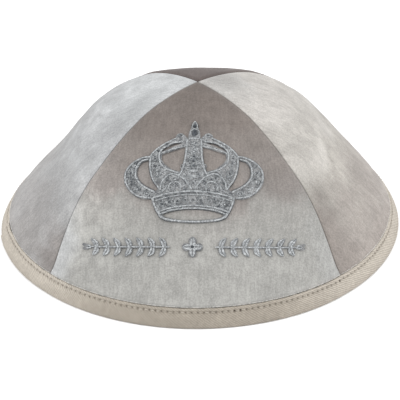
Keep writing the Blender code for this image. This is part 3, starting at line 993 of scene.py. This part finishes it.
# A list of flat stitches: both ends, height over the pile, thread radius and arch
class Stitches:
    def __init__(self, name, thread, base):
        self.name, self.thread, self.base = name, thread, base
        self.rows = []

    def add(self, a, b, height, radius, arch):
        self.rows.append((a[0], a[1], b[0], b[1], height, radius, arch))

    def build(self):
        data = np.array(self.rows) * mm
        starts = onFront(data[:, 0], self.base + data[:, 1], data[:, 4])
        ends = onFront(data[:, 2], self.base + data[:, 3], data[:, 4])
        middle = (data[:, 0:2] + data[:, 2:4]) / 2
        ups = onFront(
            middle[:, 0], self.base + middle[:, 1], 1 * mm
        ) - onFront(middle[:, 0], self.base + middle[:, 1], 0)
        ups /= np.linalg.norm(ups, axis=1, keepdims=True)
        piece = makeStrands(self.name, starts, ends, ups, data[:, 5], data[:, 6], threads[self.thread])


rng = random.Random(5)


# Close stitches side by side across a line, with a dark running thread down each edge as painted shade along
# the line's sides
def satinLine(stitches, edgeShade, points, width, height=0.55, step=0.34, radius=0.19, slant=0.35, closed=False):
    path = smoothPath(points, step, closed)
    ahead = np.gradient(path, axis=0)
    ahead /= np.linalg.norm(ahead, axis=1, keepdims=True) + 1e-9
    sides = np.stack([-ahead[:, 1], ahead[:, 0]], axis=1)
    for place, run, side in zip(path, ahead, sides):
        cross = (side + run * slant) * width / 2 * rng.uniform(0.88, 1.1)
        stitches.add(place - cross, place + cross, height + rng.uniform(-0.04, 0.04), radius, 0.24)
    if edgeShade is None:
        return
    for hand in (-1, 1):
        edge = path + sides * hand * (width / 2 + 0.12)
        for a, b in zip(edge[:-2:2], edge[2::2]):
            edgeShade.add(a, b, height - 0.22, 0.15, 0.05)


def mirrorPath(points):
    return [(-x, y) for x, y in points]


crownLook = {
    "foot": 40.5 * mm,
    "lineWidth": 0.78,
    "fillSpacing": 0.42,
    "fillLength": 0.90,
    "darkShare": 0.22,
    "darkStones": 0.6,
    "brightRings": 0.35,
}
# Lines of the right half, mirrored to the left
crownLines = {
    "outerArchOutside": [
        (16.4, 10.0), (21.4, 11.0), (25.1, 14.3), (26.6, 18.8), (25.8, 22.5), (23.1, 25.3), (19.8, 26.8),
        (17.0, 27.1),
    ],
    "outerArchInside": [(14.9, 12.4), (19.6, 15.1), (22.2, 18.5), (22.3, 22.3), (20.6, 25.2), (18.0, 26.0)],
    "innerArchOutside": [
        (12.9, 13.6), (15.3, 17.0), (16.5, 20.6), (16.9, 24.2), (16.5, 27.6), (14.7, 30.0), (12.0, 32.1),
        (9.0, 33.9), (6.9, 34.9),
    ],
    "innerArchInside": [
        (5.8, 19.8), (9.7, 21.2), (12.4, 23.4), (13.3, 26.2), (13.0, 29.0), (11.0, 31.2), (7.8, 32.8),
        (4.4, 33.2),
    ],
    "columnEdge": [(2.7, 34.2), (2.9, 29.0), (3.4, 24.5), (4.6, 20.2), (5.4, 19.0)],
    "scallop": [
        (12.6, 13.4), (12.2, 15.9), (10.8, 18.0), (8.8, 19.3), (6.4, 19.1), (3.6, 17.3), (1.9, 15.2),
        (0.7, 13.6),
    ],
    "bandEnd": [(15.5, 9.9), (14.9, 7.6), (13.9, 5.0), (12.9, 3.3)],
    "footCurl": [(12.9, 4.2), (12.6, 2.6), (10.6, 1.5), (8.0, 0.9)],
}
crownFineLines = {
    "topRail": [(12.6, 28.3), (8.2, 29.9), (3.4, 31.1)],
    "scallopCurl": [(5.0, 12.9), (4.9, 14.9), (6.1, 16.2), (8.2, 16.0), (9.4, 14.6), (9.0, 13.1)],
    "archFoot": [(12.6, 12.2), (10.8, 13.4), (10.0, 15.0)],
    "crest": [(1.7, 13.3), (0.9, 15.2), (0, 16.5)],
}
crownMiddleLines = {
    "bandTop": [
        (-15.2, 10.2), (-10.4, 11.5), (-5.2, 12.3), (0, 12.6), (5.2, 12.3), (10.4, 11.5), (15.2, 10.2)
    ],
    "bandLow": [(-13.4, 4.4), (-9.0, 5.9), (-4.5, 6.7), (0, 7.0), (4.5, 6.7), (9.0, 5.9), (13.4, 4.4)],
    "bandLowInner": [(-12.4, 3.6), (-8.4, 5.0), (-4.2, 5.7), (0, 5.9), (4.2, 5.7), (8.4, 5.0), (12.4, 3.6)],
    "foot": [(-12.6, 2.9), (-10.4, 1.6), (-5.6, 0.75), (0, 0.5), (5.6, 0.75), (10.4, 1.6), (12.6, 2.9)],
    "neckBar": [(-1.8, 34.6), (0, 34.8), (1.8, 34.6)],
}
crownBandInner = [
    (-14.6, 8.9), (-10.2, 10.2), (-5.2, 11.0), (0, 11.3), (5.2, 11.0), (10.2, 10.2), (14.6, 8.9)
]
# Ringed stones: across, up, half width, half height; the right half again, then those on the middle
crownStones = (
    (17.9, 11.9, 1.05, 0.85),
    (21.7, 13.7, 1.15, 1.05),
    (24.1, 17.0, 1.15, 1.15),
    (24.4, 20.6, 1.10, 1.20),
    (22.8, 23.8, 1.00, 0.95),
    (11.9, 16.6, 1.15, 1.10),
    (13.9, 19.7, 1.20, 1.20),
    (15.0, 23.0, 1.05, 1.25),
    (15.1, 26.3, 1.00, 1.20),
    (13.6, 29.4, 0.95, 1.00),
    (10.6, 31.9, 0.85, 0.75),
    (7.0, 17.2, 1.15, 0.95),
    (5.2, 36.4, 0.90, 0.90),
    (3.0, 9.1, 1.00, 0.80),
    (6.0, 8.8, 1.05, 0.85),
    (9.0, 8.2, 1.05, 0.85),
    (12.0, 7.4, 1.00, 0.80),
    (4.3, 22.4, 0.60, 0.80),
)
crownMiddleStones = ((0, 9.2, 1.15, 0.90),) + tuple(
    (0, 22.6 + 2.0 * row, 1.75 - 0.14 * row, 0.85) for row in range(6)
)


# Tells whether flat points lie over a motif's own solid
def insideNode(node):
    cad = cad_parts[node]
    tree = BVHTree.FromPolygons(
        [vert.co for vert in cad.data.vertices], [p.vertices for p in cad.data.polygons]
    )

    def test(x, y, base):
        outside = Vector(onFront(x * mm, base + y * mm, 6 * mm))
        inside = Vector(onFront(x * mm, base + y * mm, 0))
        hit = tree.ray_cast(outside, (inside - outside).normalized(), 7 * mm)
        return hit[0] is not None

    return test


# Short stitches thrown in every direction wherever the motif has its ground
def scatterFill(bright, dark, test, base, width, high):
    spacing = crownLook["fillSpacing"]
    columns = int(width / spacing)
    for row in range(int(high / spacing) + 1):
        for column in range(-columns, columns + 1):
            centre = np.array(
                [(column + rng.uniform(-0.4, 0.4)) * spacing, (row + rng.uniform(-0.4, 0.4)) * spacing]
            )
            if not test(*centre, base):
                continue
            turn = rng.uniform(0, math.pi)
            shift = np.array(
                [math.cos(turn), math.sin(turn)]
            ) * crownLook["fillLength"] / 2 * rng.uniform(0.6, 1.15)
            if test(*(centre + shift), base) and test(*(centre - shift), base):
                # a share of the fill in the dark slate thread, painted shade between the stitches
                chosen = dark if rng.random() < crownLook["darkShare"] else bright
                chosen.add(
                    centre - shift, centre + shift, 0.26 + rng.uniform(0, 0.16), rng.uniform(0.11, 0.15), 0.14
                )


# A stone worked in satin stitch: strands side by side over an oval
def jewel(stitches, x, y, wide, tall, height=0.5):
    count = max(3, int(2 * tall / 0.32))
    for index in range(count):
        v = -1 + 2 * (index + 0.5) / count
        half = wide * math.sqrt(1 - v * v)
        stitches.add(
            (x - half, y + v * tall),
            (x + half, y + v * tall),
            height,
            0.19,
            0.30 * math.sqrt(1 - v * v) + 0.1,
        )


def ringAround(stitches, x, y, wide, tall, width=0.5, height=0.5):
    turns = np.arange(12) * math.pi / 6
    wobble = [rng.uniform(0.88, 1.1) for _ in turns]
    ring = [(x + wide * w * math.cos(a), y + tall * w * math.sin(a)) for a, w in zip(turns, wobble)]
    satinLine(stitches, None, ring, width, height, step=0.30, radius=0.14, closed=True)


def makeCrown():
    look = crownLook
    outline = Stitches("crownOutline", "silverThread", look["foot"])
    fill = Stitches("crownStipple", "silverFill", look["foot"])
    # crownShade holds the dark slate strands: painted shade along the lines' edges and among the fill, and
    # the dark stone centres
    dark = Stitches("crownShade", "slateThreadAndShade", look["foot"])
    for lines, width in ((crownLines, look["lineWidth"]), (crownFineLines, look["lineWidth"] * 0.7)):
        for points in lines.values():
            edgeShade = None if lines is crownFineLines else dark
            satinLine(outline, edgeShade, points, width)
            satinLine(outline, edgeShade, mirrorPath(points), width, slant=-0.35)
    for points in crownMiddleLines.values():
        satinLine(outline, dark, points, look["lineWidth"])
    satinLine(outline, dark, crownBandInner, look["lineWidth"] * 0.6)
    mirrored = tuple((-x, y, wide, tall) for x, y, wide, tall in crownStones)
    for x, y, wide, tall in crownStones + mirrored + crownMiddleStones:
        ringAround(outline if rng.random() < look["brightRings"] else fill, x, y, wide, tall, 0.42, 0.42)
        jewel(dark if rng.random() < look["darkStones"] else outline, x, y, wide * 0.34, tall * 0.34, 0.38)
    jewel(outline, 0, 18.3, 3.0, 0.6)
    jewel(outline, 0, 20.4, 2.1, 0.5)
    jewel(dark, 0, 37.5, 1.25, 1.6, 0.55)
    ringAround(outline, 0, 37.5, 1.65, 2.0, 0.4)
    jewel(dark, 0, 41.0, 0.7, 1.0, 0.5)
    satinLine(outline, dark, [(-1.0, 39.8), (-0.9, 41.4), (0, 43.3), (0.9, 41.4), (1.0, 39.8)], 0.45)
    scatterFill(fill, dark, insideNode("crown_embroidery"), look["foot"], 27.5, 43.6)
    for stitches in (outline, fill, dark):
        stitches.build()
    return len(outline.rows), len(fill.rows), len(dark.rows)


# The stitched ground under a motif: its own solid, sunk into the pile
def makeGround(name, node, keep=0.42):
    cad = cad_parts[node]
    bm = bmesh.new()
    bm.from_mesh(cad.data)
    bmesh.ops.remove_doubles(bm, verts=bm.verts, dist=1e-6)
    front = gores["front"]
    tree = BVHTree.FromPolygons(
        [vert.co for vert in front.data.vertices], [p.vertices for p in front.data.polygons]
    )
    for vert in bm.verts:
        near = tree.find_nearest(vert.co)[0]
        vert.co = near + (vert.co - near) * keep
    piece = meshObject(bm, name, [threads["stitchedGround"]], smooth=False)
    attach(piece, "root")
    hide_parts(node)
    return piece


makeGround("crownGround", "crown_embroidery")
print("crown stitches:", makeCrown())


# Leaf sprigs and rosette in the row under the crown
rowLook = {
    "climb": 31.0,
    "droop": 1.8,
    "start": 8.5,
    "end": 42.2,
    "halfRise": 3.9,
    "leafPitch": 4.4,
    "leaves": 7,
    "leafWidth": 2.15,
    "leafBow": 0.40,
}


def drooped(x, y):
    return (x, y - rowLook["droop"] * (x / rowLook["end"]) ** 2)


# Slanting stitches over a pointed leaf, parted along a rib that bows to one side
def satinLeaf(stitches, base, tip, width, side, bow=0.0):
    base, tip = np.array(base), np.array(tip)
    length = np.linalg.norm(tip - base)
    run = (tip - base) / length
    cross = np.array([-run[1], run[0]])
    count = int(length / 0.30)
    for index in range(count + 1):
        t = index / count
        half = width / 2 * math.sin(math.pi * min(0.98, 0.16 + 0.82 * t) ** 0.9) ** 0.7
        rib = base + run * length * t + cross * bow * math.sin(math.pi * t)
        for hand in (-1, 1):
            foot = rib - run * 0.30 * half + cross * hand * half
            ends = [drooped(side * point[0], point[1]) for point in (rib, foot)]
            stitches.add(*ends, 0.42, 0.18, 0.22)


def makeSprig(name, node, side):
    look = rowLook
    stitches = Stitches(name, "silverThread", look["climb"] * mm)
    for index in range(look["leaves"]):
        start = look["start"] + (index + 0.3) * look["leafPitch"]
        for hand in (-1, 1):
            base = (start + 0.22 * look["leafPitch"], hand * 0.12 * look["halfRise"])
            tip = (start + 0.64 * look["leafPitch"], hand * 0.95 * look["halfRise"])
            satinLeaf(stitches, base, tip, look["leafWidth"], side, hand * look["leafBow"])
    lastStart = look["start"] + (look["leaves"] + 0.1) * look["leafPitch"]
    satinLeaf(stitches, (lastStart, 0), (look["end"] - 0.3, 0), look["leafWidth"], side)
    stem = [
        (side * look["start"] + side * step, 0) for step in np.linspace(0.4, lastStart - look["start"], 12)
    ]
    satinLine(stitches, None, [drooped(*point) for point in stem], 0.7, 0.5)
    stitches.build()
    makeGround(name + "Ground", node)


def makeRosette():
    stitches = Stitches("rosetteStitches", "silverThread", rowLook["climb"] * mm)
    dark = Stitches("rosetteJewel", "slateThreadAndShade", rowLook["climb"] * mm)
    for quarter in range(4):
        turn = quarter * math.pi / 2
        way = np.array([math.cos(turn), math.sin(turn)])
        satinLeaf(stitches, tuple(way * 0.7), tuple(way * 3.8), 2.5, 1)
    ringAround(stitches, 0, 0, 0.85, 0.85, 0.6, 0.55)
    jewel(dark, 0, 0, 0.5, 0.5, 0.55)
    stitches.build()
    dark.build()
    makeGround("rosetteGround", "rosette")


makeSprig("rightSprig", "sprig_right", 1)
makeSprig("leftSprig", "sprig_left", -1)
makeRosette()
print("row ornament made")


# Studio: pale floor, white surround and soft lamps
studio = {
    "surround": 0.92,
    "lamps": (
        ("leftLamp", (-1.00, -0.25, 0.75), 0.8, 5.5),
        ("rightLamp", (1.00, -0.15, 0.70), 0.8, 5.5),
        ("topLamp", (0.0, 0.25, 1.15), 0.9, 3.5),
    ),
}


def addStudio():
    bm = bmesh.new()
    bmesh.ops.create_grid(bm, x_segments=8, y_segments=8, size=3)
    material, tree, shader = newMaterial("paleFloor", Roughness=0.7, Specular_IOR_Level=0.2)
    cloud = addNode(tree, "ShaderNodeTexNoise", {"Scale": 3.0, "Detail": 2.0})
    place = addNode(tree, "ShaderNodeTexCoord")
    tree.links.new(place.outputs["Object"], cloud.inputs["Vector"])
    tree.links.new(
        mixColour(tree, cloud.outputs["Fac"], (0.90, 0.90, 0.90), (0.93, 0.93, 0.93)),
        shader.inputs["Base Color"],
    )
    floor = meshObject(bm, "floor", [material], smooth=False)
    world = bpy.data.worlds.new("studio")
    bpy.context.scene.world = world
    world.use_nodes = True
    world.node_tree.nodes["Background"].inputs["Color"].default_value = (1, 1, 1, 1)
    world.node_tree.nodes["Background"].inputs["Strength"].default_value = studio["surround"]
    for name, place, size, power in studio["lamps"]:
        data = bpy.data.lights.new(name, "AREA")
        data.size = size
        data.energy = power
        lamp = bpy.data.objects.new(name, data)
        lamp.location = place
        lamp.rotation_euler = (Vector((0, 0, 0.03)) - Vector(place)).to_track_quat("-Z", "Y").to_euler()
        bpy.context.scene.collection.objects.link(lamp)
    bpy.context.scene.view_settings.view_transform = "Standard"


addStudio()
print("studio made")
